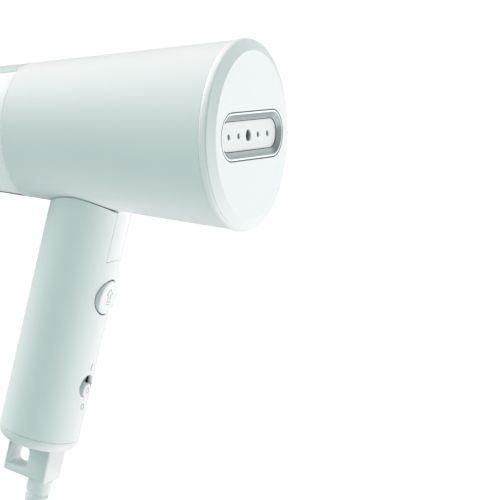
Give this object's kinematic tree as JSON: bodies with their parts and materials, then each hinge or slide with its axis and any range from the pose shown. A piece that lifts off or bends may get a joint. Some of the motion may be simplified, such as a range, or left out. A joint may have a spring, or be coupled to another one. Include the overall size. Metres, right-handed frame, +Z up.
{
  "type": "handheld garment steamer",
  "caption": "Handheld garment steamer: tapered barrel with a chrome-framed steam outlet, rear water tank, fold-down round handle with trigger and slide switch, and mains cord.",
  "frame": {"origin": "middle of the hand grip, on the handle's axis", "axes": "+Z up with the barrel level, -Y towards the steam outlet, +X sideways; the handle leans 14.9 degrees back at its foot"},
  "size_m": [0.0926, 0.176, 0.4345],
  "materials": {
    "white_plastic": "satin moulded, faint cool tint",
    "bright_trim": "polished trim and stamped steam plate",
    "frosted_tank": "translucent frosted plastic",
    "grey_plastic": "satin moulded",
    "black_plastic": "matt moulded",
    "wire_sleeve": "heat-proof sleeve",
    "circuit_board": "solder mask",
    "dark_rubber": "matt",
    "silicone": "matt translucent",
    "white_cord": "satin flexible jacket",
    "cast_aluminium": "as cast",
    "steel": "bright",
    "copper_winding": "enamelled winding",
    "brass": "turned",
    "ceramic": "glazed"
  },
  "bodies": {
    "handle": {"handle_sleeve": "white_plastic", "inner_chassis": "grey_plastic", "hinge_pin": "steel", "control_board": "circuit_board", "power_relay": "black_plastic", "trigger_switch": "black_plastic", "trigger_spring": "steel", "slide_switch": "black_plastic", "end_cap": "white_plastic", "strain_relief": "white_cord", "cord_clamp": "grey_plastic", "clamp_screw_1": "steel", "clamp_screw_2": "steel", "handle_wiring": "wire_sleeve", "power_cord": "white_cord", "cord_hank": "white_cord", "cord_tie": "black_plastic", "cord_tail": "white_cord", "plug_body": "white_cord", "plug_pin_front": "steel", "plug_pin_rear": "steel"},
    "head": {"head_shell": "white_plastic", "trim_ring": "bright_trim", "front_cover": "white_plastic", "steam_bezel": "bright_trim", "steam_plate": "bright_trim", "plate_gasket": "silicone", "boiler": "cast_aluminium", "boiler_seal": "silicone", "boiler_cover": "cast_aluminium", "boiler_screw_1": "steel", "boiler_screw_2": "steel", "boiler_screw_3": "steel", "boiler_screw_4": "steel", "heating_element": "steel", "thermostat": "black_plastic", "thermal_fuse": "ceramic", "heat_shield": "steel", "pump_body": "black_plastic", "pump_coil": "copper_winding", "delivery_tube": "silicone", "rear_bulkhead": "white_plastic", "inlet_spigot": "white_plastic", "spigot_seal": "dark_rubber", "suction_tube": "silicone", "head_wiring": "wire_sleeve", "hinge_bush": "brass"},
    "tank": {"tank_shell": "frosted_tank", "tank_front_cap": "frosted_tank", "tank_gasket": "silicone", "tank_outlet_valve": "silicone", "pickup_tube": "silicone", "latch_top_spring": "steel", "latch_bottom_spring": "steel"},
    "filler_stopper": {"filler_stopper": "dark_rubber"},
    "latch_top": {"latch_top": "grey_plastic"},
    "latch_bottom": {"latch_bottom": "grey_plastic"},
    "trigger": {"trigger_button": "white_plastic"},
    "switch_plunger": {"switch_plunger": "wire_sleeve"},
    "power_slider": {"slide_knob": "white_plastic"}
  },
  "joints": [
    {"name": "head_fold", "type": "hinge", "parent": "handle", "child": "head", "pos_m": [0, -0.02737, 0.04549], "axis": [1, 0, 0], "range_deg": [0, 97]},
    {"name": "tank_release", "type": "slide", "parent": "head", "child": "tank", "axis": [0, 1, 0], "range_m": [0, 0.06]},
    {"name": "filler_pull", "type": "slide", "parent": "tank", "child": "filler_stopper", "axis": [0, 1, 0], "range_m": [0, 0.014]},
    {"name": "latch_top_press", "type": "slide", "parent": "tank", "child": "latch_top", "axis": [0, 0, -1], "range_m": [0, 0.001], "stiffness_N_per_m": 1500, "springref_m": -0.0006, "deforming": ["latch_top_spring"]},
    {"name": "latch_bottom_press", "type": "slide", "parent": "tank", "child": "latch_bottom", "axis": [0, 0, 1], "range_m": [0, 0.001], "stiffness_N_per_m": 1500, "springref_m": -0.0006, "deforming": ["latch_bottom_spring"]},
    {"name": "trigger_press", "type": "slide", "parent": "handle", "child": "trigger", "axis": [0, 0.9664, 0.2571], "range_m": [0, 0.0025], "stiffness_N_per_m": 800, "springref_m": -0.001},
    {"name": "plunger_press", "type": "slide", "parent": "handle", "child": "switch_plunger", "axis": [0, 0.9664, 0.2571], "range_m": [0, 0.0025]},
    {"name": "power_slide", "type": "slide", "parent": "handle", "child": "power_slider", "axis": [0, -0.2571, 0.9664], "range_m": [0, 0.0043]}
  ],
  "couplings": [
    {"joint": "plunger_press", "follows": "trigger_press", "ratio": 1}
  ]
}
